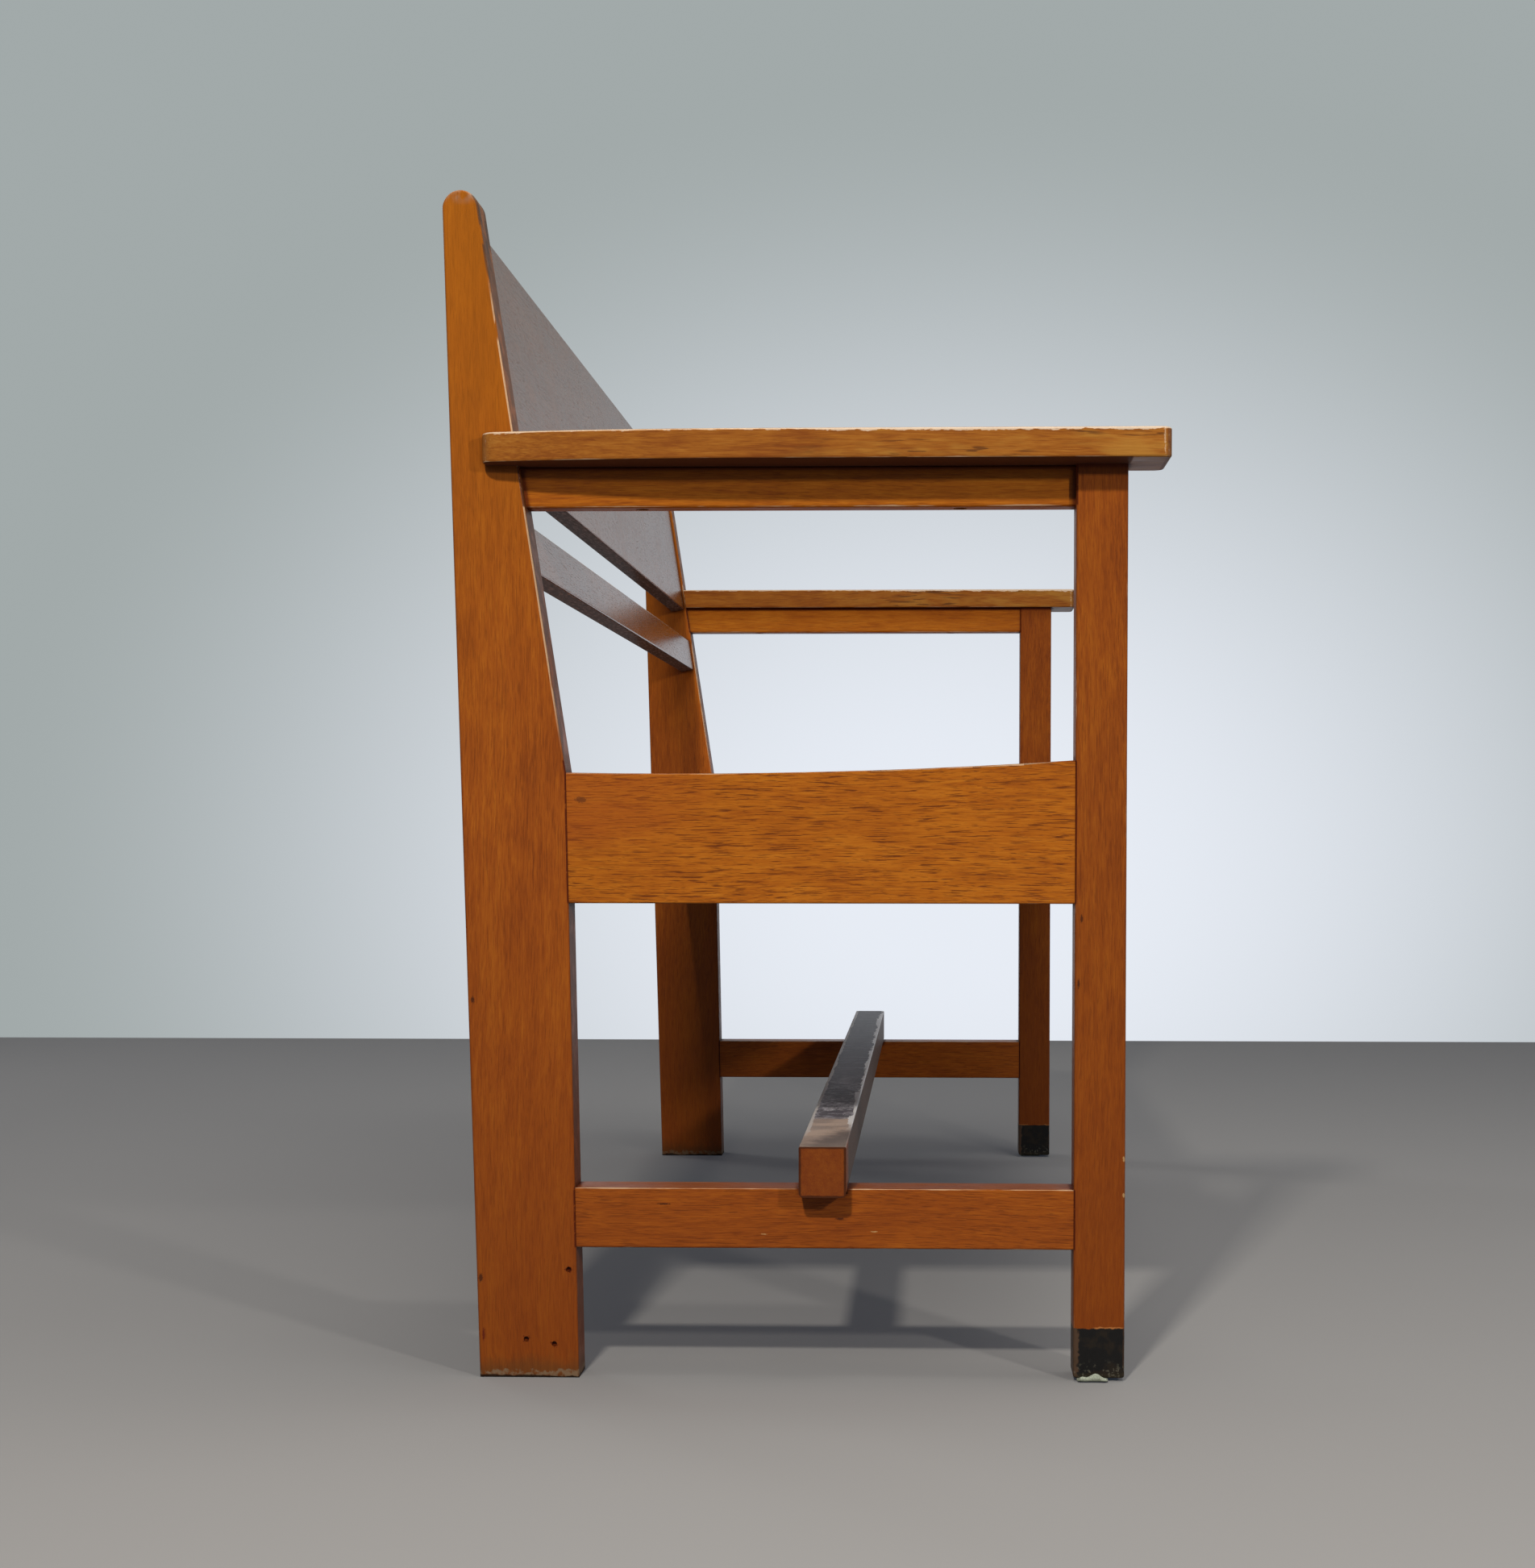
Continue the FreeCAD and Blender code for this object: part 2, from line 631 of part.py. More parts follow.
def seat_board(index):
    """One seat board, laid along the chord of the seat's curve."""
    low, high = seat_board_reaches()[index]
    reach = frame_inner - seat_board_end_gap
    top_low = seat_curve(low) - seat_board_drop
    top_high = seat_curve(high) - seat_board_drop
    outline = [(low, top_low), (high, top_high), (high, top_high - seat_board_thickness),
               (low, top_low - seat_board_thickness)]
    board = section(outline, -reach, reach)
    middle = (top_low + top_high - seat_board_thickness) / 2
    board = soften(board, rail_arris, lambda a, b: along_x(a, b) and a.z > middle)
    places = board_screw_places()
    for head in (places[index], places[index + seat_board_count]):
        hole = screw_hole(head, up, board_screw_length, screw_head_height)
        board = board.cut(hole).cut(mirrored(hole))
    return board


def centre_seat_bearer():
    """Bearer under the middle of the seat boards, between the front and rear seat rails."""
    bearer = under_seat_section(rear_rail_front_reach, front_rail_back_reach, bearer_bottom, *bearer_x)
    for tenon in bearer_tenons():
        bearer = bearer.fuse(bar(*tenon))
    bearer = bearer.removeSplitter()
    for head in board_screw_places()[seat_board_count:]:
        bearer = bearer.cut(screw_hole(head, up, board_screw_length, board_screw_recess))
    return bearer


# Fasteners, one node for each kind

def both_ends(solids):
    return Part.makeCompound(solids + [mirrored(solid) for solid in solids])


def seat_board_screws():
    screws = [screw(head, up, board_screw_length) for head in board_screw_places()]
    ends, middle = screws[:seat_board_count], screws[seat_board_count:]
    return Part.makeCompound([both_ends(ends)] + middle)


def seat_cleat_screws():
    return both_ends([screw(head, Vector(-1, 0, 0), cleat_screw_length) for head in cleat_screw_places()])


def armrest_screws():
    return both_ends([screw(head, up, arm_screw_length) for head in arm_screw_places()])


def stretcher_screws():
    return both_ends([screw(stretcher_screw_place, up, stretcher_screw_length)])


def make_nodes():
    """Every node of the bench by name."""
    nodes = {}
    handed = {"rear_post": rear_post, "front_leg": front_leg, "armrest": armrest, "arm_rail": arm_rail,
              "seat_side_rail": seat_side_rail, "side_stretcher": side_stretcher,
              "seat_cleat": seat_cleat, "felt_pad": felt_pad}
    for name, make in handed.items():
        left = make()
        nodes[name + "_left"] = left
        nodes[name + "_right"] = mirrored(left)
    nodes["rear_post_left"] = nodes["rear_post_left"].cut(nail_holes())
    nodes["centre_stretcher"] = centre_stretcher()
    nodes["back_board"] = back_piece(*back_pieces[0])
    nodes["back_slat"] = back_piece(*back_pieces[1])
    rear_stub, front_stub = bearer_tenons()
    nodes["front_seat_rail"] = cross_rail(front_rail_front_reach, front_rail_back_reach,
                                          front_rail_tenon, front_stub)
    nodes["rear_seat_rail"] = cross_rail(rear_rail_front_reach, rear_rail_back_reach,
                                         rear_rail_tenon, rear_stub)
    for index in range(seat_board_count):
        nodes["seat_board_%d" % (index + 1)] = seat_board(index)
    nodes["centre_seat_bearer"] = centre_seat_bearer()
    nodes["seat_board_screws"] = seat_board_screws()
    nodes["seat_cleat_screws"] = seat_cleat_screws()
    nodes["armrest_screws"] = armrest_screws()
    nodes["stretcher_screws"] = stretcher_screws()
    return nodes


os.makedirs("parts", exist_ok=True)
for node_name, node_shape in make_nodes().items():
    node_shape.exportStep("parts/%s.step" % node_name)
    print(node_name, len(node_shape.Solids), "solids", round(node_shape.Volume / 1000), "cm3",
          "valid" if node_shape.isValid() else "NOT VALID")
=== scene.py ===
import math
import random

import bmesh
import bpy
from mathutils import Matrix, Vector
from mathutils.noise import noise as noise_at


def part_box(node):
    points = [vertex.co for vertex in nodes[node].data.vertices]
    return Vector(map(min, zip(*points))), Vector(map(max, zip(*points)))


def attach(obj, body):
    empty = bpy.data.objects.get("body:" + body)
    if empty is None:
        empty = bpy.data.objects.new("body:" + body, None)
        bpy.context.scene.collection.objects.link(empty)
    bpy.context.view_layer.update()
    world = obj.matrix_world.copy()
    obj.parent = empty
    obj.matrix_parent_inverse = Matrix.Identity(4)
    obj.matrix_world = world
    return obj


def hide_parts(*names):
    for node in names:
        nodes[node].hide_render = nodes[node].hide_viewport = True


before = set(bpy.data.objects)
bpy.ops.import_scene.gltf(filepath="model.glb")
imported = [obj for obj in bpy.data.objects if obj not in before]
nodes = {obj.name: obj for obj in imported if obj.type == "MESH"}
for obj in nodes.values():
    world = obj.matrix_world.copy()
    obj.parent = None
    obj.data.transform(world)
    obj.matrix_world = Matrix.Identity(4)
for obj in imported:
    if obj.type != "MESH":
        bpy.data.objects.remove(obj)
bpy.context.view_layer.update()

# Places taken from the frame, in metres
post_low, post_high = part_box("rear_post_left")
leg_low, leg_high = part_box("front_leg_left")
stretcher_low, stretcher_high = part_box("centre_stretcher")
arm_low, arm_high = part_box("armrest_left")
frame_outer = abs(post_low.x)

# An end frame's depth at the floor, from the leg's front to the post's back
frame_depth = 0.481
foot_back = leg_low.y + frame_depth

# The near post's old nail holes: distance in front of its back at the floor, and height
nail_holes = ((0.0350, 0.029), (0.0560, 0.0255), (0.0670, 0.0815))


# Camera, from the fit of the photograph's straight edges

photo_width, photo_height = 1904, 1945
focal_pixels = 3500
centre_column, centre_row = 1040, 1170
camera_place = Vector((-2.8061, -0.0981, 0.4164))
camera_yaw = -0.034903
camera_pitch = -0.043401
camera_roll = 0.000448


def add_camera():
    forward = Vector((math.cos(camera_pitch) * math.cos(camera_yaw),
                      -math.cos(camera_pitch) * math.sin(camera_yaw), math.sin(camera_pitch)))
    level_right = Vector((-math.sin(camera_yaw), -math.cos(camera_yaw), 0))
    level_up = level_right.cross(forward)
    right = math.cos(camera_roll) * level_right + math.sin(camera_roll) * level_up
    up = -math.sin(camera_roll) * level_right + math.cos(camera_roll) * level_up
    data = bpy.data.cameras.new("camera")
    longer = max(photo_width, photo_height)
    data.sensor_width = 36
    data.lens = focal_pixels / longer * data.sensor_width
    data.shift_x = (photo_width / 2 - centre_column) / longer
    data.shift_y = (centre_row - photo_height / 2) / longer
    camera = bpy.data.objects.new("camera", data)
    turn = Matrix((right, up, -forward)).transposed().to_4x4()
    camera.matrix_world = Matrix.Translation(camera_place) @ turn
    bpy.context.collection.objects.link(camera)
    bpy.context.scene.camera = camera


# Node helpers

# Lengths are in metres. A noise has about as many patches to the metre as its scale, and its values are
# spread about 0.5.


def put(tree, kind, sockets=None, **settings):
    """Add a node, set its options, and fill its sockets with values or links."""
    node = tree.nodes.new("ShaderNode" + kind)
    for name, value in settings.items():
        setattr(node, name, value)
    for key, value in (sockets or {}).items():
        if isinstance(value, bpy.types.NodeSocket):
            tree.links.new(value, node.inputs[key])
        else:
            node.inputs[key].default_value = value
    return node


def maths(tree, operation, *values):
    return put(tree, "Math", dict(enumerate(values)), operation=operation).outputs[0]


def step(tree, value, low, high):
    """0 below low, 1 above high and smooth between them; low may be the larger."""
    sockets = {"Value": value, "From Min": low, "From Max": high}
    return put(tree, "MapRange", sockets, interpolation_type="SMOOTHSTEP").outputs[0]


def mix(tree, share, first, second):
    """Blend from the first colour to the second."""
    node = put(tree, "Mix", {0: share, 6: first, 7: second}, data_type="RGBA")
    return node.outputs[2]


def stretched(tree, vector, along, across):
    """Scale grain coordinates, whose x runs along the grain, for a noise or cell pattern."""
    node = put(tree, "VectorMath", {0: vector, 1: (along, across, across)}, operation="MULTIPLY")
    return node.outputs[0]


def noise(tree, vector, detail=2.0, roughness=0.5):
    sockets = {"Vector": vector, "Scale": 1.0, "Detail": detail, "Roughness": roughness}
    return put(tree, "TexNoise", sockets).outputs[0]


def looked_at(tree):
    """1 for rays that see a surface, straight, mirrored or through glass, and 0 for rays that light it."""
    path = put(tree, "LightPath").outputs
    aside = maths(tree, "MAXIMUM", path["Is Glossy Ray"], path["Is Transmission Ray"])
    return maths(tree, "MAXIMUM", path["Is Camera Ray"], aside)


def rgba(colour):
    return (*colour, 1.0)


# Wood

# Stains, each with its lightest, middle and darkest colour; all colours are linear
AMBER = {"light": (0.49, 0.165, 0.014), "mid": (0.38, 0.108, 0.008), "dark": (0.245, 0.058, 0.006)}
HONEY = {"light": (0.46, 0.190, 0.032), "mid": (0.35, 0.118, 0.016), "dark": (0.235, 0.064, 0.010)}
RUSSET = {"light": (0.39, 0.112, 0.011), "mid": (0.29, 0.070, 0.008), "dark": (0.19, 0.041, 0.006)}
UMBER = {"light": (0.26, 0.100, 0.036), "mid": (0.17, 0.060, 0.020), "dark": (0.10, 0.032, 0.011)}
PLAIN = {"light": (0.50, 0.30, 0.13), "mid": (0.38, 0.20, 0.075), "dark": (0.24, 0.11, 0.04)}

# Dark pores, dirt and painted shade in the joints, bare wood and painted highlights on the arrises, and the
# armrests' rubbed edge
FLECK = (0.110, 0.024, 0.006)
JOINT_DIRT_AND_SHADE = (0.080, 0.012, 0.004)
BARE_WOOD_AND_HIGHLIGHT = (0.60, 0.41, 0.25)
CREAM = (0.66, 0.52, 0.38)


def shaded(palette, level):
    """The same finish, darker or lighter."""
    return {name: tuple(level * part for part in colour) for name, colour in palette.items()}


GRAIN_ORDER = {"X": (0, 1, 2), "Y": (1, 0, 2), "Z": (2, 0, 1)}


class Surface:
    """A finish while its nodes are laid: its coordinates, normal, colour, roughness and height."""

    def __init__(self, name, grain, seed):
        self.material = bpy.data.materials.new(name)
        self.material.use_nodes = True
        self.tree = self.material.node_tree
        self.shader = self.tree.nodes["Principled BSDF"]
        self.place = put(self.tree, "TexCoord").outputs["Object"]
        parts = put(self.tree, "SeparateXYZ", {0: self.place}).outputs
        self.x, self.y, self.z = parts
        order = GRAIN_ORDER[grain]
        swapped = put(self.tree, "CombineXYZ", {k: parts[order[k]] for k in range(3)}).outputs[0]
        rng = random.Random(seed)
        shift = tuple(rng.uniform(1.0, 9.0) for _ in range(3))
        self.along = put(self.tree, "VectorMath", {0: swapped, 1: shift}, operation="ADD").outputs[0]
        normal = put(self.tree, "NewGeometry").outputs["Normal"]
        self.nx, self.ny, self.nz = put(self.tree, "SeparateXYZ", {0: normal}).outputs

    def lean(self):
        """How far the normal leans off the nearest axis: 0 on flat faces, 0.29 in mid arris."""
        sides = [maths(self.tree, "ABSOLUTE", part) for part in (self.nx, self.ny, self.nz)]
        flat = maths(self.tree, "MAXIMUM", maths(self.tree, "MAXIMUM", sides[0], sides[1]), sides[2])
        return maths(self.tree, "SUBTRACT", 1.0, flat)

    def grain_noise(self, along, across, detail=2.0, roughness=0.5):
        return noise(self.tree, stretched(self.tree, self.along, along, across), detail, roughness)

    def even_noise(self, scale, detail=3.0, roughness=0.5):
        return noise(self.tree, stretched(self.tree, self.place, scale, scale), detail, roughness)

    def paint(self, share, colour, roughness=None):
        """Lay a colour over the finish where share is 1, and its roughness with it."""
        self.colour = mix(self.tree, share, self.colour, rgba(colour))
        if roughness is not None:
            self.rough = put(self.tree, "Mix", {0: share, 2: self.rough, 3: roughness}).outputs[0]

    def both(self, *shares):
        """The product of several shares."""
        product = shares[0]
        for share in shares[1:]:
            product = maths(self.tree, "MULTIPLY", product, share)
        return product

    def finish(self, specular, coat, coat_roughness, bump_distance):
        normal = put(self.tree, "Bump", {"Height": self.height, "Strength": 0.6, "Distance": bump_distance})
        self.tree.links.new(self.colour, self.shader.inputs["Base Color"])
        self.tree.links.new(self.rough, self.shader.inputs["Roughness"])
        self.tree.links.new(normal.outputs[0], self.shader.inputs["Normal"])
        self.shader.inputs["Specular IOR Level"].default_value = specular
        self.shader.inputs["Coat Weight"].default_value = coat
        self.shader.inputs["Coat Roughness"].default_value = coat_roughness
        return self.material


def wear_edges(surface, top, bottom, upright, colour):
    """Rub the finish off the arrises in ragged lines: at 1 heavily, and below 0 hardly at all."""
    tree = surface.tree
    ragged = surface.grain_noise(26.0, 120.0, 3.0, 0.65)
    much = put(tree, "Mix", {0: step(tree, surface.nz, 0.20, 0.45), 2: upright, 3: top}).outputs[0]
    much = put(tree, "Mix", {0: step(tree, surface.nz, -0.20, -0.45), 2: much, 3: bottom}).outputs[0]
    start = maths(tree, "MULTIPLY_ADD", much, -0.28, 0.31)
    rubbed = maths(tree, "MULTIPLY_ADD", maths(tree, "SUBTRACT", ragged, 0.5), 0.7, surface.lean())
    over = maths(tree, "SUBTRACT", rubbed, start)
    bare = surface.both(step(tree, over, 0.0, 0.06), step(tree, surface.lean(), 0.03, 0.10), 0.85)
    surface.paint(bare, colour, 0.5)


def wood(name, grain, palette, seed, flecks=0.6, figure=1.0, wear=(0.5, 0.2, 0.3), roughness=0.42,
         gloss=(0.17, 0.05, 0.25), extras=(), cloud=0.3, relief=0.0004):
    """Stained and lacquered wood: streaks and flecks along the grain, a mottled stain, and joints darkened
    with dirt and painted shade.

    wear is how much the upper, lower and upright arrises are rubbed, as in wear_edges. gloss is the lacquer's
    specular level, coat and coat roughness. cloud is how far the roughness varies, and relief is the depth of
    the pores.
    """
    surface = Surface(name, grain, seed)
    tree = surface.tree
    wander = surface.grain_noise(2.5, 6.0, 1.0)
    bend = maths(tree, "MULTIPLY", maths(tree, "SUBTRACT", wander, 0.5), 0.03)
    sway = put(tree, "CombineXYZ", {0: 0.0, 1: bend, 2: bend}).outputs[0]
    surface.along = put(tree, "VectorMath", {0: surface.along, 1: sway}, operation="ADD").outputs[0]

    bands = surface.grain_noise(1.3, 26.0, 3.0, 0.55)
    streaks = surface.grain_noise(22.0, 300.0, 3.0, 0.6)
    fine = surface.grain_noise(70.0, 1100.0, 2.0, 0.6)
    mottle = surface.grain_noise(16.0, 34.0, 4.0, 0.6)
    tone = 0.5
    patterns = ((bands, 0.8 * figure), (streaks, 0.9 * figure), (fine, 0.6), (mottle, 0.85 * figure))
    for pattern, share in patterns:
        tone = maths(tree, "MULTIPLY_ADD", maths(tree, "SUBTRACT", pattern, 0.5), share, tone)
    ramp = put(tree, "ValToRGB", {0: tone})
    stops = ramp.color_ramp.elements
    stops[0].position, stops[0].color = 0.24, rgba(palette["dark"])
    stops[1].position, stops[1].color = 0.80, rgba(palette["light"])
    middle = stops.new(0.51)
    middle.color = rgba(palette["mid"])
    surface.colour = ramp.outputs[0]
    surface.rough = maths(tree, "MULTIPLY_ADD", maths(tree, "SUBTRACT", mottle, 0.5), cloud, roughness)

    crowd = step(tree, surface.grain_noise(5.0, 30.0, 2.0), 0.24, 0.48)
    dashes = step(tree, surface.grain_noise(52.0, 1150.0, 2.0), 0.57, 0.65)
    tick = step(tree, surface.grain_noise(130.0, 1400.0, 1.0), 0.62, 0.72)
    crowded = surface.both(dashes, crowd, 0.85 * flecks)
    dark = maths(tree, "MAXIMUM", crowded, maths(tree, "MULTIPLY", tick, 0.5 * flecks))
    surface.paint(dark, FLECK, 0.55)
    surface.height = maths(tree, "MULTIPLY_ADD", dark, -1.0, maths(tree, "MULTIPLY", fine, 0.3))

    wear_edges(surface, *wear, BARE_WOOD_AND_HIGHLIGHT)
    # Dirt and painted shade in joints and creases, darkened where ambient occlusion finds nearby surfaces
    joint_reach = 0.005
    joint_occlusion = put(tree, "AmbientOcclusion", {"Distance": joint_reach}, samples=8).outputs["AO"]
    surface.paint(maths(tree, "MULTIPLY", step(tree, joint_occlusion, 0.96, 0.72), 0.88), JOINT_DIRT_AND_SHADE, 0.6)
    for extra in extras:
        extra(surface)
    return surface.finish(*gloss, relief)


# Things that only some pieces show

def painted_shade_foot(surface):
    """Painted shade that deepens and reddens the colour towards the floor."""
    patches = surface.grain_noise(5.0, 14.0, 3.0)
    low = step(surface.tree, maths(surface.tree, "MULTIPLY_ADD", patches, 0.25, surface.z), 0.62, 0.10)
    # Painted shade, strongest at the floor
    surface.paint(maths(surface.tree, "MULTIPLY", low, 0.62), (0.19, 0.040, 0.005))


def painted_light_top(surface):
    """Painted light: the upper part of a post is a little more golden. Its front face is painted dull and
    dark in blotches.
    """
    tree = surface.tree
    patches = surface.grain_noise(5.0, 16.0, 3.0)
    high = step(tree, maths(tree, "MULTIPLY_ADD", patches, 0.3, surface.z), 0.55, 1.05)
    # Painted light: a warmer, more golden colour on the upper part
    surface.paint(maths(tree, "MULTIPLY", high, 0.55), (0.37, 0.120, 0.004))
    facing = step(tree, surface.ny, -0.80, -0.95)
    front = surface.both(facing, step(tree, surface.even_noise(70.0), 0.30, 0.55))
    surface.paint(maths(tree, "MULTIPLY", front, 0.6), (0.060, 0.038, 0.026), 0.55)


def front_highlight_and_crown(surface):
    """A painted highlight in a pale ragged line along the front arris of a rear post above the seat, with
    grime at the crown.
    """
    tree = surface.tree
    arris = surface.both(step(tree, surface.ny, -0.25, -0.45), step(tree, surface.lean(), 0.03, 0.10))
    patchy = step(tree, surface.grain_noise(14.0, 60.0, 3.0, 0.65), 0.42, 0.52)
    begins, ends = (0.46, 0.52), (0.82, 0.79)
    heights = surface.both(step(tree, surface.z, *begins), step(tree, surface.z, *ends))
    # Painted highlight on the front arris
    surface.paint(surface.both(arris, patchy, heights, 0.85), BARE_WOOD_AND_HIGHLIGHT, 0.5)
    high = step(tree, surface.z, 0.78, 0.84)
    crown = surface.both(high, step(tree, surface.even_noise(60.0), 0.40, 0.56))
    facing = step(tree, surface.ny, -0.25, -0.45)
    surface.paint(surface.both(facing, crown, 0.75), (0.060, 0.036, 0.024), 0.55)


def joint_lines(toward, heights):
    """Old dirt and painted shade on the arris that rails meet: toward is -1 for a front arris and 1 for a
    rear one.
    """
    def lay(surface):
        tree = surface.tree
        facing = step(tree, maths(tree, "MULTIPLY", surface.ny, toward), 0.25, 0.45)
        arris = surface.both(facing, step(tree, surface.lean(), 0.02, 0.07))
        ragged = step(tree, surface.even_noise(300.0), 0.28, 0.42)
        fade = 0.001
        for low, high in heights:
            within = surface.both(step(tree, surface.z, low - fade, low + fade),
                                  step(tree, surface.z, high + fade, high - fade))
            # Dirt and painted shade on the arris beside each rail
            surface.paint(surface.both(arris, ragged, within, 0.9), JOINT_DIRT_AND_SHADE, 0.6)
    return lay


def arm_wear_and_shade(surface):
    """An armrest: a ragged cream line along its top edge, a yellowed front half and painted shade on its
    underside.
    """
    tree = surface.tree
    patchy_y = maths(tree, "MULTIPLY_ADD", surface.even_noise(12.0), 0.12, surface.y)
    forward = step(tree, patchy_y, 0.10, -0.02)
    yellowed = step(tree, surface.grain_noise(14.0, 70.0, 3.0, 0.6), 0.46, 0.62)
    surface.paint(surface.both(forward, yellowed, 0.55), (0.40, 0.195, 0.034))
    fibres = surface.both(step(tree, surface.grain_noise(36.0, 480.0, 3.0), 0.55, 0.63),
                          step(tree, surface.grain_noise(12.0, 60.0), 0.44, 0.54))
    surface.paint(surface.both(forward, fibres, 0.75), (0.080, 0.026, 0.009), 0.6)
    ragged = surface.grain_noise(70.0, 220.0, 4.0, 0.7)
    least_width = maths(tree, "MULTIPLY_ADD", forward, 0.0010, -0.0026)
    width = maths(tree, "MULTIPLY_ADD", ragged, 0.0075, least_width)
    depth = maths(tree, "SUBTRACT", arm_high.z, surface.z)
    line = step(tree, maths(tree, "SUBTRACT", width, depth), -0.0002, 0.0003)
    beside = step(tree, surface.nz, 0.93, 0.80)
    surface.paint(surface.both(line, beside, maths(tree, "MULTIPLY_ADD", forward, 0.25, 0.60)), CREAM, 0.5)
    # Painted shade on the underside, behind the front of the leg
    downward = step(tree, surface.nz, -0.60, -0.85)
    under = surface.both(downward, step(tree, surface.y, leg_low.y - 0.002, leg_low.y))
    surface.paint(maths(tree, "MULTIPLY", under, 0.92), (0.075, 0.024, 0.012), 0.8)
    corner_back, corner_front = arm_low.y + 0.0042, arm_low.y + 0.0032
    corner = step(tree, surface.y, corner_back, corner_front)
    surface.paint(surface.both(corner, step(tree, surface.nz, 0.5, 0.3), 0.65), (0.150, 0.052, 0.018), 0.5)


def rosy_corner(surface):
    """The upper rear part of a seat side rail, where the stain is redder."""
    tree = surface.tree
    rear = step(tree, maths(tree, "MULTIPLY_ADD", surface.even_noise(16.0), 0.12, surface.y), 0.12, 0.20)
    high = step(tree, maths(tree, "MULTIPLY_ADD", surface.even_noise(20.0), 0.05, surface.z), 0.41, 0.45)
    surface.paint(surface.both(rear, high, 0.5), (0.31, 0.068, 0.010))


def painted_foot(surface):
    """The black paint on the bottom of a front leg, chipped at its arrises and scuffed low down."""
    tree = surface.tree
    least_height, raggedness = 0.0388, 0.0024
    ragged = surface.even_noise(240.0)
    coarse = surface.even_noise(90.0)
    line = maths(tree, "MULTIPLY_ADD", ragged, raggedness, least_height)
    covered = step(tree, maths(tree, "SUBTRACT", line, surface.z), 0.0, 0.0006)
    rim = step(tree, maths(tree, "SUBTRACT", surface.z, line), 0.0011, 0.0004)
    rim_kept = step(tree, surface.even_noise(45.0), 0.46, 0.54)
    surface.paint(surface.both(rim, rim_kept, 0.65), (0.50, 0.20, 0.06), 0.5)
    chips = surface.both(step(tree, surface.lean(), 0.03, 0.12), step(tree, ragged, 0.42, 0.56))
    kept = surface.both(covered, maths(tree, "SUBTRACT", 1.0, maths(tree, "MULTIPLY", chips, 0.55)))
    surface.paint(covered, (0.070, 0.034, 0.018), 0.6)
    surface.paint(kept, (0.0095, 0.0090, 0.0088), 0.55)
    worn_back = maths(tree, "MULTIPLY_ADD", ragged, 0.007, surface.y)
    worn_back = surface.both(covered, step(tree, worn_back, leg_high.y - 0.0010, leg_high.y + 0.0006))
    surface.paint(maths(tree, "MULTIPLY", worn_back, 0.7), (0.105, 0.060, 0.036), 0.6)
    smear = surface.both(covered, step(tree, coarse, 0.50, 0.64))
    surface.paint(maths(tree, "MULTIPLY", smear, 0.25), (0.045, 0.030, 0.016), 0.6)
    low = step(tree, surface.z, 0.018, 0.005)
    scuffs = surface.both(covered, low, step(tree, surface.even_noise(330.0), 0.56, 0.63))
    surface.paint(maths(tree, "MULTIPLY", scuffs, 0.5), (0.17, 0.16, 0.12), 0.7)
    lowest = step(tree, surface.z, 0.0075, 0.0040)
    surface.paint(surface.both(covered, lowest, 0.45), (0.040, 0.032, 0.018), 0.7)


def scuffed_foot(surface):
    """The bottom of a rear post: grime, and a grey worn band along its lowest edge."""
    tree = surface.tree
    grime = surface.even_noise(60.0)
    low = maths(tree, "DIVIDE", surface.z, maths(tree, "MULTIPLY_ADD", grime, 0.034, 0.004))
    surface.paint(maths(tree, "MULTIPLY", step(tree, low, 1.0, 0.3), 0.55), (0.085, 0.042, 0.014), 0.6)
    edge = maths(tree, "MULTIPLY_ADD", surface.even_noise(110.0, 4.0, 0.7), 0.016, -0.0018)
    band = step(tree, maths(tree, "SUBTRACT", edge, surface.z), 0.0, 0.0012)
    patchy = step(tree, surface.even_noise(260.0), 0.36, 0.56)
    surface.paint(surface.both(band, patchy, 0.8), (0.20, 0.135, 0.080), 0.7)
    lowest = maths(tree, "MULTIPLY_ADD", surface.even_noise(70.0), 0.0075, -0.0016)
    dark = step(tree, maths(tree, "SUBTRACT", lowest, surface.z), 0.0, 0.0005)
    surface.paint(maths(tree, "MULTIPLY", dark, 0.9), (0.018, 0.009, 0.005), 0.8)


def worn_crown(surface):
    """The crown of a rear post, rubbed pale grey-tan on top."""
    tree = surface.tree
    crown_depth = 0.012
    high = step(tree, surface.z, post_high.z - crown_depth, post_high.z)
    up = surface.both(high, step(tree, surface.even_noise(90.0), 0.38, 0.60))
    surface.paint(maths(tree, "MULTIPLY", up, 0.75), (0.34, 0.25, 0.19), 0.6)


def stained_nail_holes(surface):
    """Dark red stain round the old nail holes, low on the outer face of the near post."""
    tree = surface.tree
    outer, inner = 0.0078, 0.0062
    ragged = surface.even_noise(520.0, 3.0, 0.7)
    for reach, height in nail_holes:
        away = maths(tree, "ABSOLUTE", maths(tree, "SUBTRACT", surface.y, foot_back - reach))
        up = maths(tree, "ABSOLUTE", maths(tree, "SUBTRACT", surface.z, height))
        offset = put(tree, "CombineXYZ", {0: away, 1: up, 2: 0.0}).outputs[0]
        distance = put(tree, "VectorMath", {0: offset}, operation="LENGTH").outputs["Value"]
        spread = maths(tree, "MULTIPLY_ADD", ragged, 0.0100, distance)
        stain = maths(tree, "MULTIPLY", step(tree, spread, outer, inner), 0.8)
        surface.paint(stain, (0.070, 0.008, 0.004), 0.6)


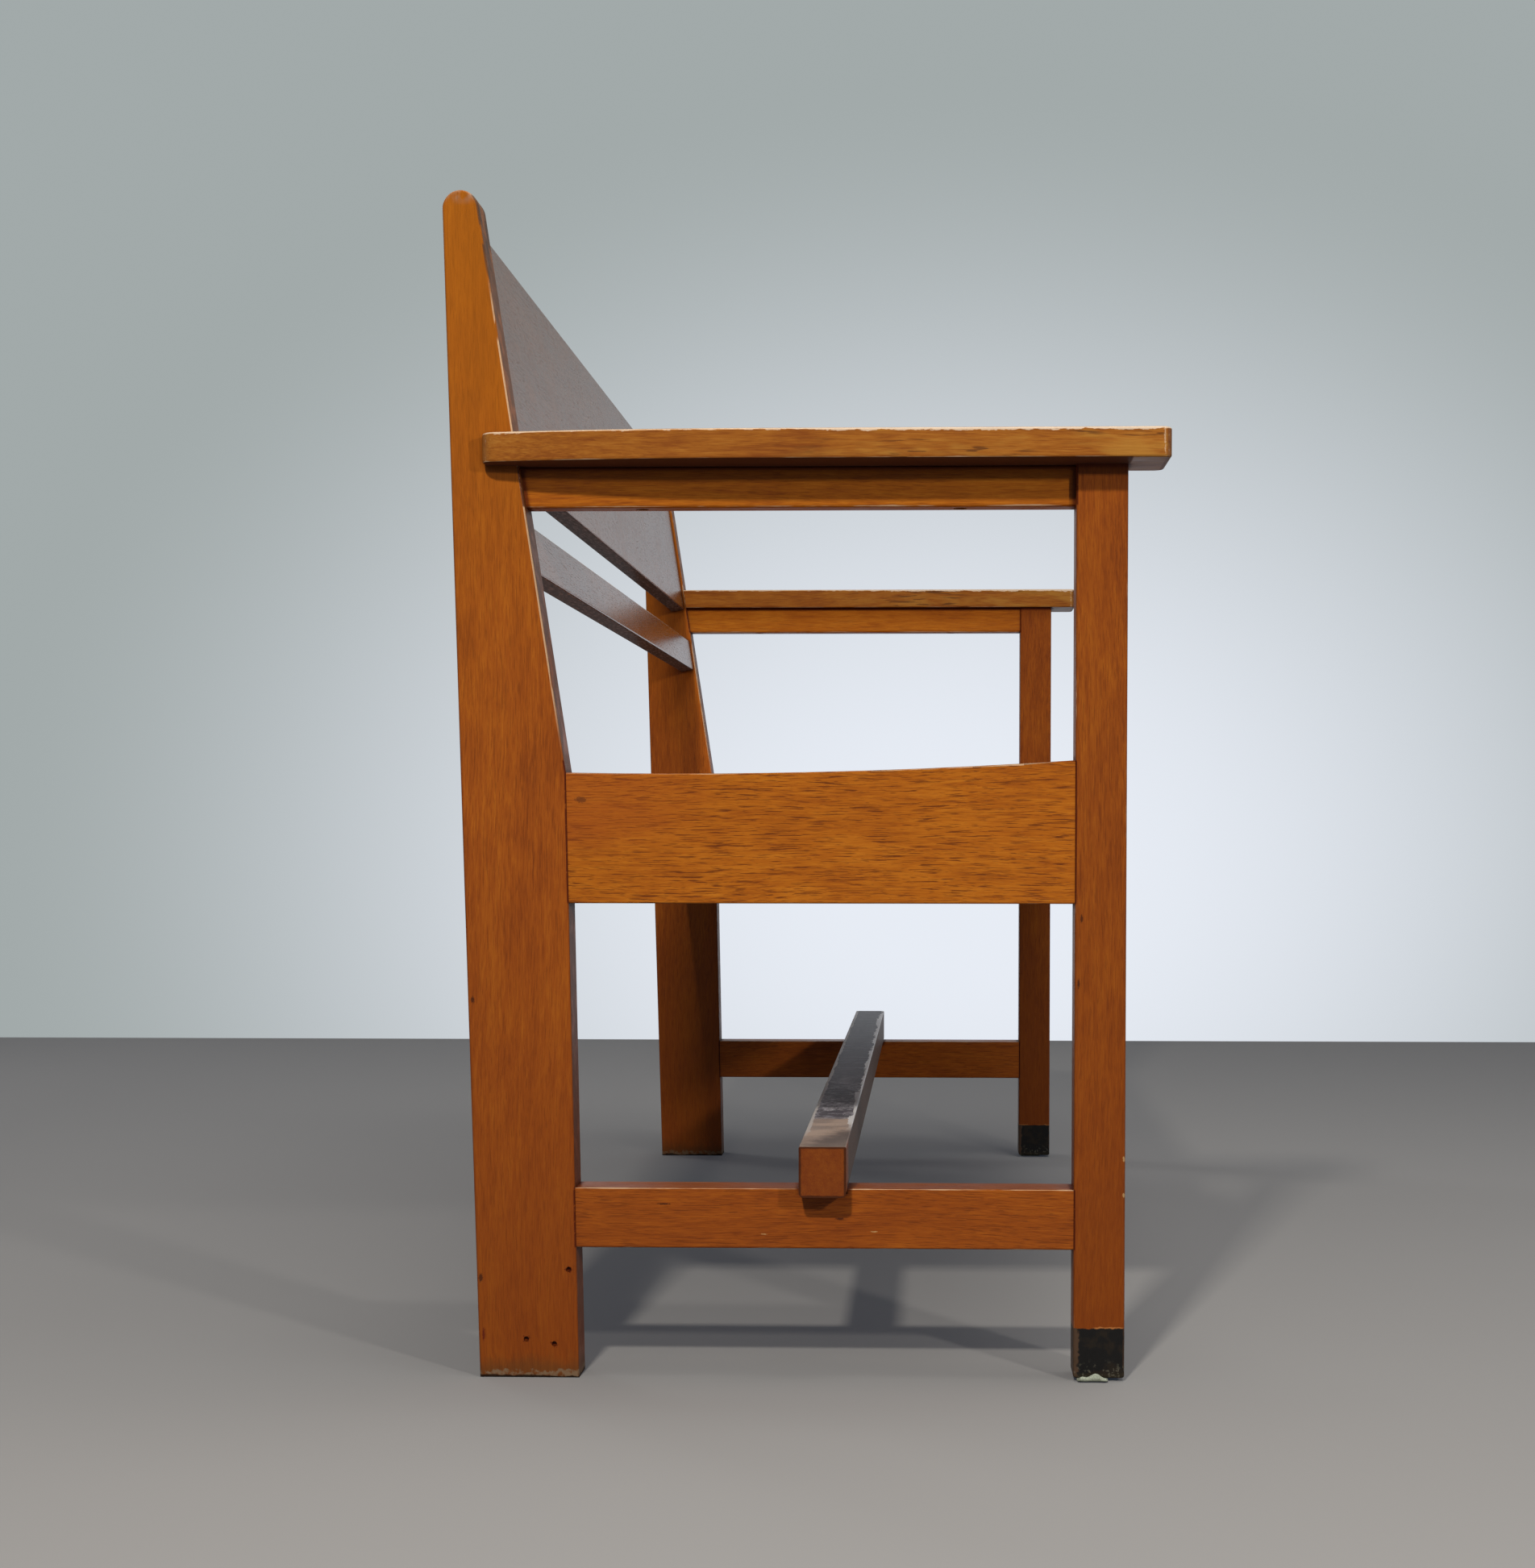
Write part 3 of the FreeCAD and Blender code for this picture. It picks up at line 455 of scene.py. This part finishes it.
def rough_underside(surface):
    """The lower edge of a back board: sawn and hardly stained, painted grey as a reflection of the floor."""
    tree = surface.tree
    under = step(tree, surface.nz, -0.55, -0.80)
    sawn = surface.grain_noise(60.0, 420.0, 4.0, 0.7)
    # Painted reflection of the floor: grey, broken by the sawn texture
    surface.paint(under, (0.085, 0.068, 0.070), 0.75)
    surface.paint(surface.both(under, step(tree, sawn, 0.50, 0.66)), (0.27, 0.24, 0.25), 0.8)
    surface.paint(surface.both(under, step(tree, sawn, 0.44, 0.34)), (0.022, 0.015, 0.016), 0.8)


def trodden_top(surface):
    """The foot rest: tan near its left end and blackened by shoes beyond, with pale scuffs."""
    tree = surface.tree
    tan_end, black_start = 0.185, 0.205
    inward = maths(tree, "SUBTRACT", surface.x, stretcher_low.x)
    upward = step(tree, surface.nz, 0.60, 0.85)
    aside = step(tree, maths(tree, "ABSOLUTE", surface.ny), 0.60, 0.85)
    from_front = maths(tree, "SUBTRACT", surface.y, stretcher_low.y)
    from_back = maths(tree, "SUBTRACT", stretcher_high.y, surface.y)
    cloudy = step(tree, surface.even_noise(26.0), 0.40, 0.62)
    ragged = maths(tree, "SUBTRACT", surface.even_noise(150.0), 0.5)

    tan = mix(tree, cloudy, rgba((0.62, 0.465, 0.355)), rgba((0.40, 0.30, 0.24)))
    surface.colour = mix(tree, maths(tree, "MULTIPLY", upward, 0.9), surface.colour, tan)
    slant = maths(tree, "MULTIPLY_ADD", inward, 0.33, from_front)
    smear = step(tree, maths(tree, "MULTIPLY_ADD", ragged, 0.03, slant), 0.050, 0.026)
    surface.paint(surface.both(upward, smear, 0.75), (0.085, 0.068, 0.064), 0.5)

    begins = step(tree, maths(tree, "MULTIPLY_ADD", ragged, 0.03, inward), tan_end, black_start)
    trodden = surface.both(upward, begins)
    surface.paint(maths(tree, "MULTIPLY", trodden, 0.96), (0.078, 0.068, 0.086), 0.5)
    blotches = step(tree, surface.even_noise(45.0, 4.0, 0.7), 0.50, 0.62)
    surface.paint(surface.both(trodden, blotches, 0.7), (0.020, 0.016, 0.022), 0.45)
    across_it = stretched(tree, surface.place, 26.0, 7.0)
    off = maths(tree, "ABSOLUTE", maths(tree, "SUBTRACT", noise(tree, across_it, 2.0), 0.5))
    bars = surface.both(step(tree, off, 0.030, 0.008), step(tree, surface.even_noise(120.0), 0.40, 0.55))
    surface.paint(surface.both(trodden, bars, 0.65), (0.42, 0.41, 0.46), 0.6)
    near_part = step(tree, inward, 0.70, 0.34)
    patches = step(tree, surface.even_noise(190.0, 5.0, 0.8), 0.49, 0.55)
    clusters = step(tree, surface.even_noise(34.0), 0.38, 0.52)
    surface.paint(surface.both(trodden, near_part, patches, clusters, 0.9), (0.66, 0.64, 0.68), 0.6)

    surface.paint(surface.both(aside, step(tree, inward, 0.02, 0.07), 0.8), (0.095, 0.080, 0.072), 0.5)
    edge_noise = surface.grain_noise(13.0, 60.0, 4.0, 0.7)
    above = step(tree, surface.nz, 0.20, 0.40)
    front_width = maths(tree, "MULTIPLY_ADD", edge_noise, 0.020, -0.0068)
    front_line = step(tree, maths(tree, "SUBTRACT", front_width, from_front), 0.0, 0.0006)
    beyond = step(tree, inward, 0.10, 0.18)
    surface.paint(surface.both(front_line, above, beyond, 0.97), (0.95, 0.93, 0.92), 0.4)
    back_width = maths(tree, "MULTIPLY_ADD", edge_noise, -0.008, 0.0074)
    back_line = step(tree, maths(tree, "SUBTRACT", back_width, from_back), 0.0, 0.0006)
    beyond = step(tree, inward, 0.05, 0.12)
    surface.paint(surface.both(back_line, above, beyond, 0.8), (0.74, 0.69, 0.65), 0.5)

    end = step(tree, maths(tree, "ABSOLUTE", surface.nx), 0.5, 0.7)
    surface.paint(maths(tree, "MULTIPLY", end, 0.6), (0.115, 0.024, 0.007), 0.5)
    borders = [from_front, from_back, maths(tree, "SUBTRACT", stretcher_high.z, surface.z),
               maths(tree, "SUBTRACT", surface.z, stretcher_low.z)]
    nearest = borders[0]
    for border in borders[1:]:
        nearest = maths(tree, "MINIMUM", nearest, border)
    rim = step(tree, maths(tree, "MULTIPLY_ADD", ragged, 0.0012, nearest), 0.0022, 0.0012)
    surface.paint(surface.both(end, rim, 0.8), (0.030, 0.010, 0.005), 0.6)


def painted_corner_highlight(surface):
    """A painted highlight: a pale line on the outer face of an armrest, just behind its front corner."""
    tree = surface.tree
    behind_front = 0.0052
    line = maths(tree, "ABSOLUTE", maths(tree, "SUBTRACT", surface.y, arm_low.y + behind_front))
    ragged = surface.even_noise(420.0)
    near = step(tree, maths(tree, "MULTIPLY_ADD", ragged, 0.0040, line), 0.0028, 0.0018)
    outer = step(tree, maths(tree, "ABSOLUTE", surface.nx), 0.75, 0.9)
    # Painted highlight just behind the front corner
    surface.paint(surface.both(near, outer, 0.65), BARE_WOOD_AND_HIGHLIGHT, 0.5)


def marks(colour, spots):
    """Small marks on an outer face: each spot is (y, z, half length in y, half length in z), in metres."""
    def lay(surface):
        tree = surface.tree
        ragged = surface.even_noise(900.0, 2.0)
        for y, z, half_y, half_z in spots:
            nearer = [maths(tree, "DIVIDE", maths(tree, "SUBTRACT", part, centre), half)
                      for part, centre, half in ((surface.y, y, half_y), (surface.z, z, half_z))]
            offset = put(tree, "CombineXYZ", dict(enumerate([*nearer, 0.0]))).outputs[0]
            reach = put(tree, "VectorMath", {0: offset}, operation="LENGTH").outputs["Value"]
            reach = maths(tree, "MULTIPLY_ADD", ragged, 1.4, reach)
            surface.paint(maths(tree, "MULTIPLY", step(tree, reach, 1.75, 1.25), 0.85), colour, 0.6)
    return lay


# Felt, steel and the room

def felt_finish():
    surface = Surface("felt", "X", seed=71)
    tree = surface.tree
    fibres = surface.even_noise(1400.0, 4.0, 0.7)
    tufts = step(tree, fibres, 0.35, 0.65)
    surface.colour = mix(tree, tufts, rgba((0.25, 0.28, 0.21)), rgba((0.48, 0.52, 0.42)))
    surface.rough = maths(tree, "MULTIPLY_ADD", fibres, 0.1, 0.88)
    surface.height = fibres
    soiled = step(tree, surface.even_noise(160.0), 0.52, 0.68)
    surface.paint(maths(tree, "MULTIPLY", soiled, 0.6), (0.15, 0.15, 0.10), 0.95)
    return surface.finish(specular=0.2, coat=0.0, coat_roughness=0.5, bump_distance=0.0006)


def steel_finish():
    surface = Surface("screw_steel", "X", seed=72)
    tree = surface.tree
    turned = surface.even_noise(900.0)
    surface.colour = mix(tree, turned, rgba((0.24, 0.22, 0.19)), rgba((0.52, 0.50, 0.46)))
    surface.rough = maths(tree, "MULTIPLY_ADD", turned, 0.3, 0.25)
    surface.height = turned
    surface.paint(step(tree, turned, 0.60, 0.70), (0.16, 0.075, 0.035), 0.8)
    surface.shader.inputs["Metallic"].default_value = 0.9
    return surface.finish(specular=0.5, coat=0.0, coat_roughness=0.5, bump_distance=0.0001)


def felt_scrap(side, finish):
    """A torn scrap of felt: flat under its leg, with a crumpled lip that turns up outside the leg.

    profile is the felt's middle along the bench, as distances outside the end frame and heights.
    """
    low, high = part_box("felt_pad_" + side)
    outward = -1 if side == "left" else 1
    middle, half_width = (low.y + high.y) / 2, (high.y - low.y) / 2 - 0.001
    thickness, flat = 0.0021, 0.00125
    profile = ((-0.0320, flat), (-0.0160, flat), (0.0000, flat), (0.0025, 0.0014), (0.0048, 0.0020),
               (0.0056, 0.0034), (0.0050, 0.0050), (0.0036, 0.0060))
    across = 15
    sheet = bmesh.new()
    rows = []
    for index, (out, height) in enumerate(profile):
        loose = max(0, index - 2) / (len(profile) - 3)
        row = []
        for step_across in range(across):
            share = 2 * step_across / (across - 1) - 1
            wave = noise_at(Vector((share * 2.6, index * 0.55, outward * 3.0)))
            torn = noise_at(Vector((index * 1.3, share, outward * 7.0)))
            y = middle + share * half_width * (1 + 0.10 * torn) * (1 - 0.18 * loose * abs(share))
            x = outward * (frame_outer + out + loose * 0.0007 * wave)
            lobes = (1 - 0.75 * share ** 4) * (0.75 + 0.35 * math.cos(5.2 * share + 0.9))
            lifted = flat + (height - flat) * (1 - loose + loose * lobes)
            row.append(sheet.verts.new((x, y, lifted + loose * 0.0012 * wave)))
        rows.append(row)
    for first, second in zip(rows, rows[1:]):
        for k in range(across - 1):
            sheet.faces.new((first[k], first[k + 1], second[k + 1], second[k]))
    bmesh.ops.recalc_face_normals(sheet, faces=sheet.faces)
    mesh = bpy.data.meshes.new("felt_scrap_" + side)
    sheet.to_mesh(mesh)
    sheet.free()
    mesh.materials.append(finish)
    mesh.shade_smooth()
    scrap = bpy.data.objects.new("felt_scrap_" + side, mesh)
    bpy.context.collection.objects.link(scrap)
    thick = scrap.modifiers.new("thick", "SOLIDIFY")
    thick.thickness = thickness
    thick.offset = 0
    smooth = scrap.modifiers.new("smooth", "SUBSURF")
    smooth.levels = smooth.render_levels = 2
    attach(scrap, "root")
    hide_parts("felt_pad_" + side)


def floor_finish():
    """A pale matt floor that keeps the shadows, with a faint glow that is seen but lights nothing."""
    material = bpy.data.materials.new("floor")
    material.use_nodes = True
    tree = material.node_tree
    tree.nodes.clear()
    lighting_colour, seen_colour, glow = (0.15, 0.145, 0.14), (0.31, 0.30, 0.285), (0.014, 0.018, 0.026)
    seen = looked_at(tree)
    colour = mix(tree, seen, rgba(lighting_colour), rgba(seen_colour))
    lit = put(tree, "BsdfDiffuse", {0: colour}).outputs[0]
    shown = put(tree, "Emission", {0: rgba(glow), 1: seen}).outputs[0]
    both = put(tree, "AddShader", {0: lit, 1: shown}).outputs[0]
    put(tree, "OutputMaterial", {0: both})
    return material


def add_sheet(name, corners, material):
    """A flat part of the room, which is no part of the bench."""
    mesh = bpy.data.meshes.new(name)
    mesh.from_pydata(corners, [], [tuple(range(len(corners)))])
    mesh.materials.append(material)
    sheet = bpy.data.objects.new(name, mesh)
    bpy.context.collection.objects.link(sheet)


def wall_finish(centre_y, centre_z):
    """A pale wall with a painted pool of light round a centre, seen from its front side only."""
    half_y, half_z = 1.55, 1.22
    material = bpy.data.materials.new("wall")
    material.use_nodes = True
    tree = material.node_tree
    tree.nodes.clear()
    parts = put(tree, "SeparateXYZ", {0: put(tree, "TexCoord").outputs["Object"]}).outputs
    aside = maths(tree, "DIVIDE", maths(tree, "SUBTRACT", parts[1], centre_y), half_y)
    above = maths(tree, "DIVIDE", maths(tree, "SUBTRACT", parts[2], centre_z), half_z)
    away = maths(tree, "SQRT", maths(tree, "ADD", maths(tree, "MULTIPLY", aside, aside),
                                     maths(tree, "MULTIPLY", above, above)))
    # The painted pool of light: brightest round the centre, fading outwards
    colour = mix(tree, step(tree, away, 0.1, 1.25), rgba((0.80, 0.84, 0.91)), rgba((0.36, 0.40, 0.40)))
    shown = put(tree, "Emission", {0: colour, 1: 1.0}).outputs[0]
    lit = put(tree, "BsdfDiffuse", {0: rgba((0.55, 0.57, 0.60))}).outputs[0]
    front = put(tree, "MixShader", {0: looked_at(tree), 1: lit, 2: shown}).outputs[0]
    clear = put(tree, "BsdfTransparent").outputs[0]
    behind = put(tree, "NewGeometry").outputs["Backfacing"]
    both = put(tree, "MixShader", {0: behind, 1: front, 2: clear}).outputs[0]
    put(tree, "OutputMaterial", {0: both})
    return material


def add_room():
    half, wall_x, wall_half, wall_top = 9.0, 2.54, 3.2, 3.4
    floor = [(-half, -half, 0), (half, -half, 0), (half, half, 0), (-half, half, 0)]
    wall = [(wall_x, wall_half, 0), (wall_x, -wall_half, 0), (wall_x, -wall_half, wall_top),
            (wall_x, wall_half, wall_top)]
    add_sheet("floor", floor, floor_finish())
    add_sheet("wall", wall, wall_finish(centre_y=-0.15, centre_z=0.30))


# Light

def add_lamp(name, aim, azimuth, elevation, distance, size, power, colour, shiny=True):
    """A square lamp, seen from aim at an azimuth from -X towards -Y and an elevation, both in degrees."""
    turn, lift = math.radians(azimuth), math.radians(elevation)
    away = Vector((-math.cos(turn) * math.cos(lift), -math.sin(turn) * math.cos(lift), math.sin(lift)))
    data = bpy.data.lights.new(name, "AREA")
    data.size = size
    data.energy = power
    data.color = colour
    lamp = bpy.data.objects.new(name, data)
    lamp.location = Vector(aim) + away * distance
    lamp.rotation_euler = away.to_track_quat("Z", "Y").to_euler()
    lamp.visible_glossy = shiny
    bpy.context.collection.objects.link(lamp)


def add_light():
    """Two small lamps that throw crisp shadows, two large soft ones, and an even sky."""
    near_arm = (-frame_outer, 0.0, 0.65)
    add_lamp("low_right", near_arm, azimuth=35, elevation=11, distance=2.4, size=0.12, power=19,
             colour=(1.0, 0.96, 0.92), shiny=False)
    add_lamp("low_left", near_arm, azimuth=-8, elevation=28.5, distance=2.7, size=0.15, power=55,
             colour=(1.0, 0.95, 0.88), shiny=False)
    add_lamp("top", (0.1, 0.0, 0.5), azimuth=40, elevation=72, distance=2.6, size=1.6, power=32,
             colour=(1.0, 0.98, 0.96))
    add_lamp("back", (0.2, 0.1, 0.4), azimuth=215, elevation=28, distance=3.6, size=1.8, power=52,
             colour=(0.97, 0.98, 1.0))
    world = bpy.data.worlds.new("world")
    world.use_nodes = True
    bpy.context.scene.world = world
    tree = world.node_tree
    tree.nodes.clear()
    lighting, more_when_seen = 0.17, 0.31
    strength = maths(tree, "MULTIPLY_ADD", looked_at(tree), more_when_seen, lighting)
    background = put(tree, "Background", {0: rgba((0.90, 0.93, 0.97)), 1: strength})
    put(tree, "OutputWorld", {0: background.outputs[0]})


# The bench's finishes

def dress(node, material):
    """Give a piece its finish, with the piece itself left as it is."""
    slots = nodes[node].material_slots
    for slot in slots:
        slot.link = "OBJECT"
        slot.material = material


def near_marks():
    """Old knocks, scratches and a knot on the left end frame, by the piece that shows them."""
    dark, red = (0.050, 0.014, 0.006), (0.100, 0.012, 0.006)
    pale, knot = (0.46, 0.27, 0.11), (0.13, 0.036, 0.010)
    leg_front, leg_back = leg_low.y, leg_high.y
    return {
        "front_leg": [
            marks(pale, [(leg_front + 0.001, 0.166, 0.0010, 0.0025),
                         (leg_front + 0.001, 0.139, 0.0010, 0.0020)]),
            marks(dark, [(leg_back - 0.005, 0.344, 0.0012, 0.0035),
                         (leg_back - 0.003, 0.296, 0.0010, 0.0040)]),
        ],
        "rear_post": [
            marks(dark, [(foot_back - 0.001, 0.075, 0.0018, 0.0040),
                         (foot_back + 0.004, 0.283, 0.0016, 0.0030)]),
            marks(red, [(foot_back - 0.003, 0.0325, 0.0012, 0.0060)]),
        ],
        "side_stretcher": [
            marks(pale, [(0.0304, 0.1087, 0.0026, 0.0005), (-0.0521, 0.1109, 0.0030, 0.0006)]),
            marks(dark, [(-0.0262, 0.1205, 0.0040, 0.0010), (0.105, 0.131, 0.0060, 0.0008)]),
        ],
        "seat_side_rail": [marks(knot, [(0.1661, 0.4319, 0.0050, 0.0026)])],
    }


def dress_end_frame(side, seed):
    """Finish the pieces of one end frame. The left one, near the camera, has marks of its own."""
    near = side == "left"
    spots = near_marks() if near else {}
    # The right frame's post and stretcher take a lighter copy of the stain: painted light for the far frame
    post_wood = RUSSET if near else shaded(RUSSET, 1.28)
    leg_wood, arm_wood = shaded(RUSSET, 0.85), shaded(HONEY, 0.83)
    rails = [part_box(rail + "_left") for rail in ("arm_rail", "seat_side_rail", "side_stretcher")]
    rail_heights = [(low.z, high.z) for low, high in rails]
    nail_stains = [stained_nail_holes] if near else []
    post_extras = [painted_light_top, painted_shade_foot, worn_crown, front_highlight_and_crown, joint_lines(-1, rail_heights),
                   scuffed_foot, *nail_stains, *spots.get("rear_post", [])]
    leg_extras = [painted_shade_foot, joint_lines(1, rail_heights), painted_foot, *spots.get("front_leg", [])]
    side_rail_extras = [rosy_corner, *spots.get("seat_side_rail", [])]

    dress("rear_post_" + side,
          wood("post_" + side, "Z", post_wood, seed, flecks=0.45, figure=0.6, wear=(0.3, 0.1, -0.4),
               extras=post_extras))
    dress("front_leg_" + side,
          wood("leg_" + side, "Z", leg_wood, seed + 1, flecks=0.5, figure=0.6, wear=(0.2, 0.1, -0.1),
               extras=leg_extras))
    dress("armrest_" + side,
          wood("armrest_" + side, "Y", arm_wood, seed + 2, flecks=0.25, figure=0.7, wear=(0.9, 0.30, 0.0),
               extras=(arm_wear_and_shade, painted_corner_highlight)))
    dress("arm_rail_" + side,
          wood("arm_rail_" + side, "Y", AMBER, seed + 3, flecks=0.35, figure=0.6, wear=(0.2, 0.35, 0.2)))
    dress("seat_side_rail_" + side,
          wood("side_rail_" + side, "Y", AMBER, seed + 4, flecks=1.0, figure=0.6, wear=(0.5, 0.1, 0.1),
               extras=side_rail_extras))
    dress("side_stretcher_" + side,
          wood("stretcher_" + side, "Y", post_wood, seed + 5, flecks=0.6, figure=0.45, wear=(0.6, 0.2, 0.2),
               extras=spots.get("side_stretcher", [])))
    dress("seat_cleat_" + side,
          wood("cleat_" + side, "Y", PLAIN, seed + 6, flecks=0.5, figure=0.8, wear=(0.2, 0.2, 0.2),
               roughness=0.6))


def dress_bench():
    for side, seed in (("left", 20), ("right", 40)):
        dress_end_frame(side, seed)
    dress("centre_stretcher",
          wood("foot_rest", "X", RUSSET, 61, flecks=0.4, figure=0.7, wear=(0.3, 0.2, 0.2),
               extras=(trodden_top,)))
    for name, seed, roughness in (("back_board", 62, 0.27), ("back_slat", 63, 0.25)):
        dress(name,
              wood(name, "X", UMBER, seed, flecks=0.3, figure=0.5, wear=(0.5, 0.1, 0.2),
                   roughness=roughness, gloss=(0.33, 0.06, 0.20), extras=(rough_underside,), cloud=0.06,
                   relief=0.0001))
    for place, seed in (("front", 64), ("rear", 65)):
        dress(place + "_seat_rail", wood(place + "_rail", "X", RUSSET, seed, flecks=0.6, figure=0.9))
    dress("centre_seat_bearer",
          wood("bearer", "Y", PLAIN, 66, flecks=0.5, figure=0.8, wear=(0.2, 0.2, 0.2), roughness=0.6))
    for number in range(1, 6):
        name = "seat_board_%d" % number
        dress(name, wood(name, "X", AMBER, 80 + number, flecks=0.8, figure=1.0, wear=(0.7, 0.2, 0.4)))
    steel = steel_finish()
    for node in ("seat_board_screws", "seat_cleat_screws", "armrest_screws", "stretcher_screws"):
        dress(node, steel)
    felt = felt_finish()
    for side in ("left", "right"):
        felt_scrap(side, felt)


add_camera()
add_room()
add_light()
dress_bench()

bpy.context.scene.view_settings.view_transform = "Standard"
